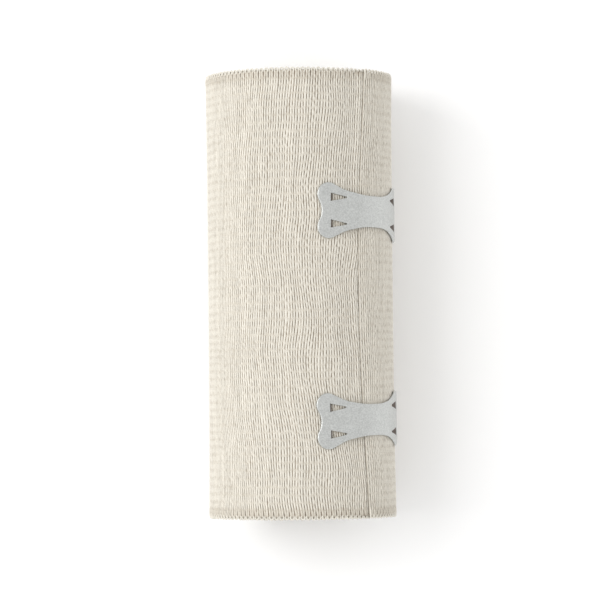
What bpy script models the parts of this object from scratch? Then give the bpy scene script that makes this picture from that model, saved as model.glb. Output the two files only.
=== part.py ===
"""A crepe bandage roll lying on its side, its loose end held down by two stamped metal clips.

The roll's axis runs along Y and its flat spot rests on z = 0, with the origin at the middle of it.
Angles round the roll start at the top (+Z) and grow towards +X.  "Turns" count the winding from
the loose end inwards, so 0 is the loose end and 1 is the cloth right under it.
"""

import math

import bmesh
import bpy
import numpy as np
from mathutils import Vector

MM = 0.001

# The cloth: one strip of ribbed crepe
CLOTH_WIDTH = 152.4 * MM
CLOTH_THICKNESS = 1.4 * MM
TURNS = 21
LOOSE_END_RADIUS = 32.55 * MM
SELVAGE_FLARE = 0.45 * MM  # how much the roll swells towards its two ends
FLAT_WIDTH = 14.0 * MM  # the flat spot that it rests on
FLATTENED_DEPTH = 9.0 * MM  # how deep into the winding the flat spot is felt

# Where the loose end lies: its place along the roll, and its angle there
LOOSE_END = [
    # y mm, degrees
    (-76.2, 44.9),
    (-53.0, 42.8),
    (-36.0, 40.4),
    (-19.0, 39.3),
    (-2.0, 38.6),
    (30.0, 38.5),
    (57.0, 40.3),
    (76.2, 41.5),
]

# Ribs: each has one crest and one valley, and they meet in pairs at the selvage
RIBS = 220
RIB_DEPTH = 0.36 * MM
RIB_WANDER = 0.75  # degrees
RIB_WAVES = [
    # share, radians a metre along the roll, radians a turn
    (1.0, 61.0, 9.0),
    (0.6, 117.0, -23.0),
]
SELVAGE = 2.2 * MM
BETWEEN_SELVAGES = 5  # lengths of the outer turn, apart from the selvages
LOOP_REACH = [0.55 * MM, 0.15 * MM, 0.55 * MM, 1.35 * MM]  # crest, in the loop, crest, between loops

# The wound edges that show on both ends of the roll
EDGE_STEPS = 22  # points a turn
EDGE_GROOVE = 0.6 * MM
EDGE_UNEVEN = 0.35 * MM
EDGE_WAVES = (1.7, 4.1)  # radians a turn
EYE_DEPTH = 2.0 * MM

# Clips: flat sizes, before they are bent round the roll
CLIP_LENGTH = 43.5 * MM
CLIP_THICKNESS = 0.5 * MM
NECK_WIDTH = 10.6 * MM
LOBE_RADIUS = 4.0 * MM
LOBE_SPREAD = 5.5 * MM  # from the middle line to a lobe's centre
WAIST_DEPTH = 1.5 * MM  # how far the outer edge curves in between the lobes
SHOULDER_SLOPE = math.radians(27.5)
SHOULDER_FILLET = 28.0 * MM
BEND_STEP = 2.9 * MM
CLIP_CLEARANCE = 0.36 * MM
CLIP_RISE = (-13.0, -1.0)  # degrees from the loose end, where the clip's rise to it starts and ends
ARC_STEP = math.radians(15.0)

# Teeth: punched out of each end plate and bent down into the cloth
TOOTH_BASE = 4.3 * MM  # from the clip's end
TOOTH_LENGTH = 6.3 * MM
TOOTH_WIDTH = 3.0 * MM
TOOTH_TIP = 0.4 * MM
TOOTH_SPREAD = 9.0 * MM
TOOTH_TURN = math.radians(68.0)
TOOTH_BEND = 0.6 * MM  # inner radius of its bend
POCKET_CLEARANCE = 0.32 * MM

CLIPS = [
    # name, y mm, where its end lies round the roll in degrees, turned by degrees
    ("clip_upper", 27.7, 11.3, -0.4),
    ("clip_lower", -42.87, 9.7, 1.4),
]

FINISHES = {
    # name: colour, metallic, roughness
    "crepe_cloth": ((0.775, 0.745, 0.651), 0.0, 0.95),
    "clip_metal": ((0.63, 0.64, 0.62), 1.0, 0.42),
}


def finish(name):
    """The Principled material of that name."""
    colour, metallic, roughness = FINISHES[name]
    material = bpy.data.materials.new(name)
    material.use_nodes = True
    shader = material.node_tree.nodes["Principled BSDF"]
    shader.inputs["Base Color"].default_value = (*colour, 1.0)
    shader.inputs["Metallic"].default_value = metallic
    shader.inputs["Roughness"].default_value = roughness
    return material


def place(name, bm, finish_name, sharp=40.0):
    """Close a bmesh into a named object, its faces pointing out."""
    bmesh.ops.recalc_face_normals(bm, faces=bm.faces)
    if bm.calc_volume(signed=True) < 0:
        bmesh.ops.reverse_faces(bm, faces=bm.faces)
    mesh = bpy.data.meshes.new(name)
    bm.to_mesh(mesh)
    bm.free()
    mesh.shade_smooth()
    mesh.set_sharp_from_angle(angle=math.radians(sharp))
    if finish_name:
        mesh.materials.append(finish(finish_name))
    part = bpy.data.objects.new(name, mesh)
    bpy.context.scene.collection.objects.link(part)
    return part


# ---- the winding ----


def loose_end_angle(y):
    """The loose end's angle, in degrees, at a place along the roll."""
    table = np.array(LOOSE_END)
    return np.interp(y, table[:, 0] * MM, table[:, 1])


def winding_radius(turn, y):
    """A steady spiral: one thickness of cloth less for each turn, and a swell at the ends."""
    swell = SELVAGE_FLARE * (np.abs(y) / (CLOTH_WIDTH / 2)) ** 4
    radius = LOOSE_END_RADIUS - CLOTH_THICKNESS * turn
    return radius + swell * radius / LOOSE_END_RADIUS


def turn_at_bottom():
    """The share of the outer turn that lies between the loose end and the bottom."""
    return (180.0 - loose_end_angle(0.0)) / 360.0


BOTTOM_RADIUS = winding_radius(turn_at_bottom(), 0.0)
AXIS_HEIGHT = math.sqrt(BOTTOM_RADIUS**2 - (FLAT_WIDTH / 2) ** 2)


def wound(turn, y, sunk=0.0, shift=0.0):
    """Points on the winding, pressed flat at the bottom.

    A point's angle is the loose end's plus 360 degrees a turn, and its radius is the spiral's less
    "sunk".  Each layer rests on its own floor, which lies its depth in the cloth above z = 0, less
    a sag that fades in with depth.
    """
    turn, y = np.broadcast_arrays(np.asarray(turn, float), np.asarray(y, float))
    angle = np.radians(loose_end_angle(y) + 360.0 * turn + shift)
    radius = winding_radius(turn, y) - sunk
    outermost = winding_radius(turn % 1.0, y)
    depth = np.maximum(outermost - radius, 0.0)
    sag = BOTTOM_RADIUS - AXIS_HEIGHT
    layer_floor = depth - sag * (1.0 - np.exp(-depth / FLATTENED_DEPTH))
    layer_floor = np.where(turn <= 1.0, 0.0, layer_floor)
    z = np.maximum(AXIS_HEIGHT + radius * np.cos(angle), layer_floor)
    return np.stack([radius * np.sin(angle), y, z], axis=-1)


# ---- the roll ----


def outer_turn():
    """Rings of points round the outer turn, one ring for each station along the roll."""
    inner = np.linspace(-1, 1, BETWEEN_SELVAGES + 1) * (CLOTH_WIDTH / 2 - SELVAGE)
    stations = np.concatenate([[-CLOTH_WIDTH / 2], inner, [CLOTH_WIDTH / 2]])
    point = np.arange(2 * RIBS + 1)
    turn = point / (2.0 * RIBS)
    rings = []
    for row, station in enumerate(stations):
        y = np.full(len(point), station)
        if row in (0, len(stations) - 1):
            y -= np.sign(station) * np.take(LOOP_REACH, point % len(LOOP_REACH))
        wave = sum(share * np.sin(by_y * station + by_turn * turn) for share, by_y, by_turn in RIB_WAVES)
        shift = RIB_WANDER * np.sin(math.pi * turn) * wave
        rings.append(wound(turn, y, np.where(point % 2, RIB_DEPTH, 0.0), shift))
    return np.array(rings)


def wound_edge(side):
    """The crest and the groove of the cloth's edge on one end, spiralling in to the eye."""
    step = np.arange((TURNS + 1) * EDGE_STEPS + 1)
    turn = step / EDGE_STEPS
    slow, fast = EDGE_WAVES
    uneven = EDGE_UNEVEN * (np.sin(slow * turn) * np.sin(fast * turn + side) - 0.5)
    y = side * (CLOTH_WIDTH / 2 + uneven)
    crest = wound(turn, y, CLOTH_THICKNESS / 2)
    groove = wound(turn, y - side * EDGE_GROOVE)
    return crest[: TURNS * EDGE_STEPS + 1], groove


def roll_solid():
    """One closed solid: the ribbed outer turn, the loose end's cut face, and the two wound ends."""
    rings = outer_turn()
    count = rings.shape[1]
    last = count - 1
    points = [tuple(p) for p in rings.reshape(-1, 3)]
    faces = []
    for row in range(len(rings) - 1):
        here, there = row * count, (row + 1) * count
        for k in range(last):
            faces.append((here + k, here + k + 1, there + k + 1, there + k))
        faces.append((here + last, here, there, there + last))
    for side, row in ((-1, 0), (1, len(rings) - 1)):
        close_end(points, faces, side, row * count, last)
    bm = bmesh.new()
    verts = [bm.verts.new(p) for p in points]
    for face in faces:
        bm.faces.new([verts[i] for i in face])
    bmesh.ops.triangulate(bm, faces=bm.faces)
    return place("bandage_roll", bm, "crepe_cloth")


def close_end(points, faces, side, rim, last):
    """Add one end: fans from the ribbed rim to the first crest, then strips crest to groove."""
    crest, groove = wound_edge(side)
    share = last // EDGE_STEPS
    crest_at = len(points)
    points.extend(tuple(p) for p in crest)
    groove_at = len(points) - (EDGE_STEPS + 1)
    points.extend(tuple(p) for p in groove[EDGE_STEPS + 1 :])
    eye = groove[-EDGE_STEPS:].mean(axis=0) - (0, side * EYE_DEPTH, 0)
    points.append(tuple(eye))

    def g(step):
        return rim + step * share if step <= EDGE_STEPS else groove_at + step

    def c(step):
        return crest_at + step

    for step in range(EDGE_STEPS):
        for k in range(share):
            near = step if k < share / 2 else step + 1
            faces.append((g(step) + k, g(step) + k + 1, c(near)))
        faces.append((g(step) + (share + 1) // 2, c(step + 1), c(step)))
    inner_end = TURNS * EDGE_STEPS
    for step in range(inner_end):
        if step >= EDGE_STEPS:
            faces.append((g(step), g(step + 1), c(step + 1), c(step)))
        faces.append((c(step), c(step + 1), g(step + 1 + EDGE_STEPS), g(step + EDGE_STEPS)))
    faces.append((g(0), c(0), g(EDGE_STEPS)))
    around = [g(inner_end + k) for k in range(EDGE_STEPS + 1)] + [c(inner_end)]
    for a, b in zip(around, around[1:] + around[:1]):
        faces.append((a, b, len(points) - 1))


# ---- the clips ----


def arc(centre, radius, start, end):
    """Points along an arc of a circle, its two ends included; angles in radians."""
    angle = np.linspace(start, end, max(3, round(abs(end - start) / ARC_STEP) + 1))
    return np.stack([centre[0] + radius * np.cos(angle), centre[1] + radius * np.sin(angle)], axis=1)


def clip_outline():
    """The stamped outline, from four mirrored quarters, as (along, across) points.

    A quarter runs from the middle of the hollow outer edge, round a lobe, and down a straight
    shoulder into the neck.  The hollow is an arc that touches both lobes from outside.
    """
    hollow_back = (LOBE_SPREAD**2 - WAIST_DEPTH**2) / (2 * WAIST_DEPTH) - LOBE_RADIUS
    hollow_radius = hollow_back + WAIST_DEPTH
    touch = math.atan2(LOBE_SPREAD, LOBE_RADIUS + hollow_back)
    hollow = arc((-hollow_back, 0.0), hollow_radius, 0.0, touch)
    lobe_centre = (LOBE_RADIUS, LOBE_SPREAD)
    lobe = arc(lobe_centre, LOBE_RADIUS, math.pi + touch, math.pi / 2 - SHOULDER_SLOPE)
    shoulder_top = lobe[-1]
    fillet_centre_across = NECK_WIDTH / 2 + SHOULDER_FILLET
    drop = shoulder_top[1] - (fillet_centre_across - SHOULDER_FILLET * math.cos(SHOULDER_SLOPE))
    foot = shoulder_top[0] + drop / math.tan(SHOULDER_SLOPE)
    fillet_centre = (foot + SHOULDER_FILLET * math.sin(SHOULDER_SLOPE), fillet_centre_across)
    start = -math.pi / 2 - SHOULDER_SLOPE
    fillet = arc(fillet_centre, SHOULDER_FILLET, start, -math.pi / 2)
    quarter = np.concatenate([hollow, lobe[1:], fillet])
    far = quarter[::-1] * (-1, 1) + (CLIP_LENGTH, 0)
    upper = np.concatenate([quarter, far])
    lower = upper[-2:0:-1] * (1, -1)
    return np.concatenate([upper, lower])


def tooth_hole(at_far_end, across):
    """A tooth's triangular hole: its base towards the clip's end, its tip towards the neck."""
    half = TOOTH_WIDTH / 2
    tip = TOOTH_TIP / 2
    far = TOOTH_BASE + TOOTH_LENGTH
    hole = np.array([(TOOTH_BASE, half), (TOOTH_BASE, -half), (far, -tip), (far, tip)])
    if at_far_end:
        hole = hole * (-1, 1) + (CLIP_LENGTH, 0)
    return hole + (0.0, across)


def tooth_profile():
    """A tooth from the side: (along, height, half width) of its upper and lower edge at 3 places.

    The first is at the hole's edge, the second past the bend, the third at the tip.
    """
    outer = TOOTH_BEND + CLIP_THICKNESS
    sine, cosine = math.sin(TOOTH_TURN), math.cos(TOOTH_TURN)
    bent = TOOTH_TURN * (TOOTH_BEND + CLIP_THICKNESS / 2)
    rest = TOOTH_LENGTH - bent
    bend_half = TOOTH_WIDTH / 2 - (TOOTH_WIDTH - TOOTH_TIP) / 2 * bent / TOOTH_LENGTH
    upper_bend = (outer * sine, outer * cosine - TOOTH_BEND)
    lower_bend = (TOOTH_BEND * sine, TOOTH_BEND * cosine - TOOTH_BEND)
    tip = (rest * cosine, -rest * sine)
    upper = [(0.0, CLIP_THICKNESS), upper_bend, (upper_bend[0] + tip[0], upper_bend[1] + tip[1])]
    lower = [(0.0, 0.0), lower_bend, (lower_bend[0] + tip[0], lower_bend[1] + tip[1])]
    return upper, lower, [TOOTH_WIDTH / 2, bend_half, TOOTH_TIP / 2]


def clip_radius(angle, y):
    """Radius of the clip's inner side: over the cloth, with a soft rise up to the loose end."""
    past = angle - loose_end_angle(y)
    under = winding_radius(1.0 + np.minimum(past, 0.0) / 360.0, y)
    over = winding_radius(np.maximum(past, 0.0) / 360.0, y)
    rise_start, rise_end = CLIP_RISE
    rise = np.clip((past - rise_start) / (rise_end - rise_start), 0.0, 1.0)
    rise = rise * rise * (3.0 - 2.0 * rise)
    return under + (over - under) * rise + CLIP_CLEARANCE


def bend(flat, y_middle, start, turned):
    """Carry (along, across, height) points of the flat clip round the roll.

    The clip is turned about its own middle first.  Its length then follows a chain of stations
    BEND_STEP apart, straight between them, and height goes out along the radius.
    """
    flat = np.asarray(flat, float)
    middle = (CLIP_LENGTH / 2, 0.0)
    along = flat[:, 0] - middle[0]
    across = flat[:, 1]
    turn = math.radians(turned)
    s = middle[0] + along * math.cos(turn) - across * math.sin(turn)
    y = y_middle + along * math.sin(turn) + across * math.cos(turn)
    degrees = math.degrees(BEND_STEP / (LOOSE_END_RADIUS - CLOTH_THICKNESS / 2))
    place_on = s / BEND_STEP
    before = np.floor(place_on)
    share = place_on - before
    carried = []
    for station in (before, before + 1):
        angle = start + degrees * station
        radius = clip_radius(angle, y_middle) + flat[:, 2]
        x = radius * np.sin(np.radians(angle))
        z = AXIS_HEIGHT + radius * np.cos(np.radians(angle))
        carried.append(np.stack([x, z], axis=1))
    xz = carried[0] * (1 - share[:, None]) + carried[1] * share[:, None]
    return np.stack([xz[:, 0], y, xz[:, 1]], axis=1)


def each_tooth():
    """The four teeth of a clip, as (at the far end, across)."""
    return [(end, side * TOOTH_SPREAD / 2) for end in (False, True) for side in (-1, 1)]


def stamp(bm, turned):
    """The flat plate with its holes, cut into lengths where it will bend, and given a thickness."""
    for loop in [clip_outline()] + [tooth_hole(end, across) for end, across in each_tooth()]:
        verts = [bm.verts.new((p[0], p[1], 0.0)) for p in loop]
        for a, b in zip(verts, verts[1:] + verts[:1]):
            bm.edges.new((a, b))
    bmesh.ops.triangle_fill(bm, edges=bm.edges, use_beauty=True)
    turn = math.radians(turned)
    across = (math.cos(turn), -math.sin(turn), 0.0)
    for station in range(1, round(CLIP_LENGTH / BEND_STEP)):
        along = station * BEND_STEP - CLIP_LENGTH / 2
        on_plane = (CLIP_LENGTH / 2 + along * across[0], along * across[1], 0.0)
        whole = bm.verts[:] + bm.edges[:] + bm.faces[:]
        bmesh.ops.bisect_plane(bm, geom=whole, dist=1e-6, plane_co=on_plane, plane_no=across)
    raised = bmesh.ops.extrude_face_region(bm, geom=bm.faces)["geom"]
    for vert in raised:
        if isinstance(vert, bmesh.types.BMVert):
            vert.co.z += CLIP_THICKNESS


def draw_tooth(bm, at_far_end, across):
    """Draw one tooth out of its hole's base edge: over the bend, then to the tip."""
    upper, lower, half_widths = tooth_profile()
    base = CLIP_LENGTH - TOOTH_BASE if at_far_end else TOOTH_BASE
    way = -1.0 if at_far_end else 1.0
    middle = Vector((base, across, CLIP_THICKNESS / 2))
    wall = min(bm.faces, key=lambda face: (face.calc_center_median() - middle).length)
    for place_no in (1, 2):
        wall = bmesh.ops.extrude_discrete_faces(bm, faces=[wall])["faces"][0]
        before_half = half_widths[place_no - 1]
        for vert in wall.verts:
            edge = upper if vert.co.z > (upper[place_no - 1][1] + lower[place_no - 1][1]) / 2 else lower
            side = (vert.co.y - across) / before_half
            vert.co.x = base + way * edge[place_no][0]
            vert.co.y = across + side * half_widths[place_no]
            vert.co.z = edge[place_no][1]


def clip_solid(name, y_middle, start, turned):
    """One clip: stamped flat, its teeth drawn down, then bent round the roll."""
    bm = bmesh.new()
    stamp(bm, turned)
    for at_far_end, across in each_tooth():
        draw_tooth(bm, at_far_end, across)
    bent = bend([tuple(v.co) for v in bm.verts], y_middle, start, turned)
    for vert, point in zip(bm.verts, bent):
        vert.co = point
    bmesh.ops.triangulate(bm, faces=bm.faces)
    return place(name, bm, "clip_metal", sharp=30.0)


def pockets(name, y_middle, start, turned):
    """A cutter: the room that a clip's four teeth take in the cloth."""
    upper, lower, half_widths = tooth_profile()
    bm = bmesh.new()
    for at_far_end, across in each_tooth():
        base = CLIP_LENGTH - TOOTH_BASE if at_far_end else TOOTH_BASE
        way = -1.0 if at_far_end else 1.0
        tip_along = math.cos(TOOTH_TURN) * POCKET_CLEARANCE
        tip_down = math.sin(TOOTH_TURN) * POCKET_CLEARANCE
        side_along = math.sin(TOOTH_TURN) * POCKET_CLEARANCE
        side_up = math.cos(TOOTH_TURN) * POCKET_CLEARANCE
        corners = []
        for half, a, b in zip(half_widths, upper, lower):
            last = half == half_widths[-1]
            for side in (-1, 1):
                y = across + side * (half + POCKET_CLEARANCE)
                more = (tip_along, -tip_down) if last else (0.0, 0.0)
                corners.append((a[0] + side_along + more[0], y, a[1] + side_up + more[1]))
                corners.append((b[0] - side_along + more[0], y, b[1] - side_up + more[1]))
        flat = [(base + way * p[0], p[1], p[2]) for p in corners]
        verts = [bm.verts.new(p) for p in bend(flat, y_middle, start, turned)]
        bmesh.ops.convex_hull(bm, input=verts)
    loose = [v for v in bm.verts if not v.link_faces]
    bmesh.ops.delete(bm, geom=loose, context="VERTS")
    cutter = place(name, bm, None)
    cutter.hide_render = True
    cutter.display_type = "WIRE"
    return cutter


for leftover in list(bpy.data.objects):
    bpy.data.objects.remove(leftover, do_unlink=True)

roll = roll_solid()
for clip_name, y_mm, start_angle, turned_by in CLIPS:
    clip_solid(clip_name, y_mm * MM, start_angle, turned_by)
    cut = roll.modifiers.new(clip_name + "_pockets", "BOOLEAN")
    cut.operation = "DIFFERENCE"
    cut.solver = "EXACT"
    cut.object = pockets(clip_name + "_pockets", y_mm * MM, start_angle, turned_by)
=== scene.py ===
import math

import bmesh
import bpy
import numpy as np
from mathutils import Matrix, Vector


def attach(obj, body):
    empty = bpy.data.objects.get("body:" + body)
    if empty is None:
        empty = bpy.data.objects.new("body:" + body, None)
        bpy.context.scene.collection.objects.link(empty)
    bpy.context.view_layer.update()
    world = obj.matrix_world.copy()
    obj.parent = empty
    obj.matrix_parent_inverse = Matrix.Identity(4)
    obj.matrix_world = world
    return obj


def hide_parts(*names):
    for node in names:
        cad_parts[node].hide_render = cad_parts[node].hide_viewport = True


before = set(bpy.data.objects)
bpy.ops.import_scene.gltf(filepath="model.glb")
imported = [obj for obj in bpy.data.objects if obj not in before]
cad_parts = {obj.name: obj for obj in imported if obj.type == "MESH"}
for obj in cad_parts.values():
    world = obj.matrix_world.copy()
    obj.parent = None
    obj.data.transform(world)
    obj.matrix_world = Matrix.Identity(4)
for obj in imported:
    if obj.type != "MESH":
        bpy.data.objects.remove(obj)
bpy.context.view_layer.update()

# A roll of crepe bandage on its side, closed by two stamped clips.  Metres, +Z up, the roll's axis
# along Y.  Angles round the roll start at the top and grow towards +X.  Places on the winding are
# counted in ribs of the cloth, from the loose end inwards, and a whole number is a valley.  "Sunk"
# is a depth under the rib crests of the outer turn.

MM = 0.001

# ======== The inner winding ========
# One strip of elastic crepe, six inches wide, machine wound from its inner end into 22 turns.
# Cotton ribs run across the strip, along the roll, over tan elastic threads.  This is all of the
# strip but its outermost turn, so only its two edges show, spiralling in on the ends of the roll.

CLOTH_WIDTH = 152.4 * MM
TURN_THICKNESS = 1.4 * MM  # one turn with its air
CLOTH_THICKNESS = 1.25 * MM
LOOSE_END_RADIUS = 32.55 * MM
SELVAGE_FLARE = 0.45 * MM  # how much the roll swells towards its two ends
FLAT_WIDTH = 14.0 * MM  # of the flat spot that the roll rests on
FLATTENED_DEPTH = 9.0 * MM  # how deep into the winding the flat spot is felt
SMALLEST_ARC = 3.0 * MM  # the least radius at which a sideways move is measured
RIBS_A_TURN = 220
TURNS = 22
OUTER_RIBS = 223  # the outer turn goes on a little way under the loose end
ARC_SAMPLES = 20000
LOOP_REACH = 1.2 * MM  # from the woven body's edge to the tips of the selvage's loops
LOOPS_PROUD = 0.3 * MM  # how far those tips stand past the strip's nominal edge
BODY_HALF = CLOTH_WIDTH / 2 + LOOPS_PROUD - LOOP_REACH
EDGE_UNEVEN = 0.35 * MM
EDGE_WAVES = (1.7, 4.1)  # radians a turn
LOOSE_END = [
    # y mm, degrees
    (-76.2, 44.9),
    (-53.0, 42.8),
    (-36.0, 40.4),
    (-19.0, 39.3),
    (-2.0, 39.1),
    (30.0, 39.4),
    (57.0, 42.6),
    (76.2, 44.2),
]
BAND_SECTION = [
    # mm from the edge of the band, share of its thickness
    (0.0, 0.5),
    (0.15, 0.15),
    (0.6, 0.0),
    (40.0, 0.0),
]
BAND_SHADE = 0.55  # of its edge, where 0 is a valley's and 1 a crest's


def loose_end_angle(y):
    """Degrees from the top to the loose end at y: a quintic through the table's places."""
    place, angle = np.array(LOOSE_END).T
    half = CLOTH_WIDTH / 2
    return np.polyval(np.polyfit(place * MM / half, angle, 5), np.asarray(y) / half)


def winding_radius(turn, y):
    """A steady spiral: one turn's thickness less for each turn, and a swell towards both ends.

    The swell grows with the fourth power of the way out from the middle of the roll.
    """
    radius = LOOSE_END_RADIUS - TURN_THICKNESS * turn
    swell = SELVAGE_FLARE * (np.abs(y) / (CLOTH_WIDTH / 2)) ** 4
    return radius * (1.0 + swell / LOOSE_END_RADIUS)


bottom_radius = float(winding_radius((180.0 - loose_end_angle(0.0)) / 360.0, 0.0))
AXIS_HEIGHT = math.sqrt(bottom_radius**2 - (FLAT_WIDTH / 2) ** 2)


def wound(rib, y, sunk, sideways=0.0):
    """Points on the winding, from a place in ribs, a place along the roll and a depth.

    The angle is the loose end's plus a full circle for each turn's ribs, and the radius is the
    spiral's less the depth.  At the bottom each layer rests on its own floor: its depth in the
    cloth above z = 0, less a sag that fades in with depth.  "Sideways" moves a point along the arc.
    """
    rib, y, sunk, sideways = np.broadcast_arrays(rib, y, sunk, sideways)
    turn = rib / RIBS_A_TURN
    radius = winding_radius(turn, y) - sunk
    moved = sideways / np.maximum(radius, SMALLEST_ARC)
    angle = np.radians(loose_end_angle(y) + 360.0 * turn) + moved
    depth = np.maximum(np.maximum(np.floor(turn), 0.0) * TURN_THICKNESS + sunk, 0.0)
    sag = bottom_radius - AXIS_HEIGHT
    sagged = np.maximum(depth - sag * (1.0 - np.exp(-depth / FLATTENED_DEPTH)), 0.0)
    layer_floor = np.where(depth < TURN_THICKNESS, depth, sagged)
    z = np.maximum(AXIS_HEIGHT + radius * np.cos(angle), layer_floor)
    return np.stack([radius * np.sin(angle), y, z], axis=-1)


def uneven_edge(turn, side):
    """How far a turn's edge stands out of the roll's end.

    Two slow waves along the winding are multiplied, and a half is taken off.
    """
    slow, fast = EDGE_WAVES
    return EDGE_UNEVEN * (np.sin(slow * turn) * np.sin(fast * turn + side) - 0.5)


def placed(name, data):
    """A new object in the scene, at the origin, from a mesh, a camera or a light."""
    made = bpy.data.objects.new(name, data)
    bpy.context.scene.collection.objects.link(made)
    return made


def closed_tubes(name, rings, values, walls=0):
    """A mesh of closed tubes from rings of points, shaped (tubes, rings, points round, 3).

    Neighbouring rings are joined by quads, and both ends of a tube are closed by a fan to the
    middle of its last ring.  The fans are flat and the quads smooth, but for those of the first
    and last few rings that "walls" counts.  "Values" are named numbers for each point, kept as
    attributes.  The UV map lays each tube out as a rectangle, and the tubes side by side.
    """
    tubes, count, around, _ = rings.shape
    body = tubes * count * around
    middles = rings[:, [0, -1]].mean(axis=2).reshape(-1, 3)
    index = np.arange(body).reshape(tubes, count, around)
    beside = np.roll(index, -1, axis=2)
    quads = np.stack([index[:, :-1], beside[:, :-1], beside[:, 1:], index[:, 1:]], axis=-1)
    first = np.broadcast_to(body + 2 * np.arange(tubes)[:, None], (tubes, around))
    start_fan = np.stack([beside[:, 0], index[:, 0], first], axis=-1)
    end_fan = np.stack([index[:, -1], beside[:, -1], first + 1], axis=-1)
    fans = np.stack([start_fan, end_fan], axis=1)

    cells = math.ceil(math.sqrt(tubes))
    cell = np.stack([np.arange(tubes) % cells, np.arange(tubes) // cells], axis=-1)
    cell = cell[:, None, None, None]
    ring_at, round_at = np.meshgrid(np.arange(1, count), np.arange(around), indexing="ij")
    quad_step = np.array([(0, 0), (0, 1), (1, 1), (1, 0)])
    quad_at = np.stack([ring_at, round_at], axis=-1)[:, :, None] + quad_step
    fan_step = np.array([[(1, 1), (1, 0), (0, 0.5)], [(0, 0), (0, 1), (1, 0.5)]])
    fan_base = np.stack([np.zeros(around), np.arange(around)], axis=-1)
    fan_at = (fan_base + np.array([[(0, 0)], [(count, 0)]]))[:, :, None] + fan_step[:, None]
    quad_uv = ((cell + quad_at / (count + 1, around)) / cells).reshape(-1, 4, 2)
    fan_uv = ((cell + fan_at / (count + 1, around)) / cells).reshape(-1, 3, 2)

    points = np.concatenate([rings.reshape(-1, 3), middles])
    quads, fans = quads.reshape(-1, 4), fans.reshape(-1, 3)
    corners = points[np.concatenate([quads[:, :3], quads[:, [0, 2, 3]], fans])]
    volume = np.einsum("ij,ij->", corners[:, 0], np.cross(corners[:, 1], corners[:, 2]))
    if volume < 0:
        quads, fans = quads[:, ::-1], fans[:, ::-1]
        quad_uv, fan_uv = quad_uv[:, ::-1], fan_uv[:, ::-1]

    mesh = bpy.data.meshes.new(name)
    mesh.vertices.add(len(points))
    mesh.vertices.foreach_set("co", points.astype(np.float32).ravel())
    mesh.loops.add(quads.size + fans.size)
    mesh.loops.foreach_set("vertex_index", np.concatenate([quads.ravel(), fans.ravel()]))
    starts = np.concatenate([np.arange(len(quads)) * 4, quads.size + np.arange(len(fans)) * 3])
    mesh.polygons.add(len(starts))
    mesh.polygons.foreach_set("loop_start", starts)
    smooth = np.ones((tubes, count - 1, around), bool)
    smooth[:, :walls] = False
    smooth[:, count - 1 - walls :] = False
    mesh.polygons.foreach_set("use_smooth", np.append(smooth.ravel(), np.zeros(len(fans), bool)))
    mesh.update(calc_edges=True)
    uv = np.concatenate([quad_uv.ravel(), fan_uv.ravel()]).astype(np.float32)
    mesh.uv_layers.new(name="OFBake").uv.foreach_set("vector", uv)
    for label, value in values.items():
        value = np.broadcast_to(value, rings.shape[:3])
        ends = value[:, [0, -1]].mean(axis=2)
        every = np.concatenate([value.ravel(), ends.ravel()]).astype(np.float32)
        mesh.attributes.new(label, "FLOAT", "POINT").data.foreach_set("value", every)
    mesh.validate()
    return placed(name, mesh)


def fill_in(tree, made, inputs):
    """Give a node its inputs, as (name or number, value or socket)."""
    for key, value in inputs:
        if isinstance(value, bpy.types.NodeSocket):
            tree.links.new(value, made.inputs[key])
        else:
            made.inputs[key].default_value = value


def node(tree, kind, inputs=(), **settings):
    """A new shader node with its settings and its inputs."""
    made = tree.nodes.new(kind)
    for key, value in settings.items():
        setattr(made, key, value)
    fill_in(tree, made, inputs)
    return made


def attributes(tree, *labels):
    """The numbers that a mesh keeps at its points under these labels."""
    return [
        node(tree, "ShaderNodeAttribute", attribute_name=label).outputs["Fac"]
        for label in labels
    ]


def calculate(tree, operation, *values):
    """The result of one Math node."""
    return node(tree, "ShaderNodeMath", enumerate(values), operation=operation).outputs[0]


def blend_colour(tree, share, first, second):
    """The first colour turning into the second as the share goes from 0 to 1."""
    inputs = [("Factor", share), (6, first), (7, second)]
    return node(tree, "ShaderNodeMix", inputs, data_type="RGBA").outputs[2]


def shaded(tree, colour, shade):
    """A colour made lighter or darker by a factor."""
    inputs = [(0, colour), ("Scale", shade)]
    return node(tree, "ShaderNodeVectorMath", inputs, operation="SCALE").outputs[0]


def spread(tree, value, low, high, to_low=0.0, to_high=1.0):
    """A value carried smoothly from one range to another, and held at both ends."""
    limits = [("From Min", low), ("From Max", high), ("To Min", to_low), ("To Max", to_high)]
    inputs = [("Value", value), *limits]
    return node(tree, "ShaderNodeMapRange", inputs, interpolation_type="SMOOTHSTEP").outputs[0]


def noise(tree, spot, size, detail=2.0):
    """Noise whose features are of about the given size."""
    inputs = [("Vector", spot), ("Scale", 1.0 / size), ("Detail", detail)]
    return node(tree, "ShaderNodeTexNoise", inputs).outputs["Fac"]


NOISE_RANGE = (0.3, 0.7)  # nearly all values of a noise lie in it


def mottled(tree, value, between):
    """A noise's values spread between two others."""
    return spread(tree, value, *NOISE_RANGE, *between)


def own_number(tree, value):
    """A random number from 0 to 1 for each whole number."""
    made = node(tree, "ShaderNodeTexWhiteNoise", [("W", value)], noise_dimensions="1D")
    return made.outputs["Value"]


def bumped(tree, height, distance, strength):
    """The surface's normal, tilted as if a height of 0 to 1 stood up by that distance."""
    inputs = [("Height", height), ("Distance", distance), ("Strength", strength)]
    return node(tree, "ShaderNodeBump", inputs).outputs["Normal"]


def new_material(name):
    """A new material, with its node tree and its shader."""
    material = bpy.data.materials.new(name)
    material.use_nodes = True
    return material, material.node_tree, material.node_tree.nodes["Principled BSDF"]


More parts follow.
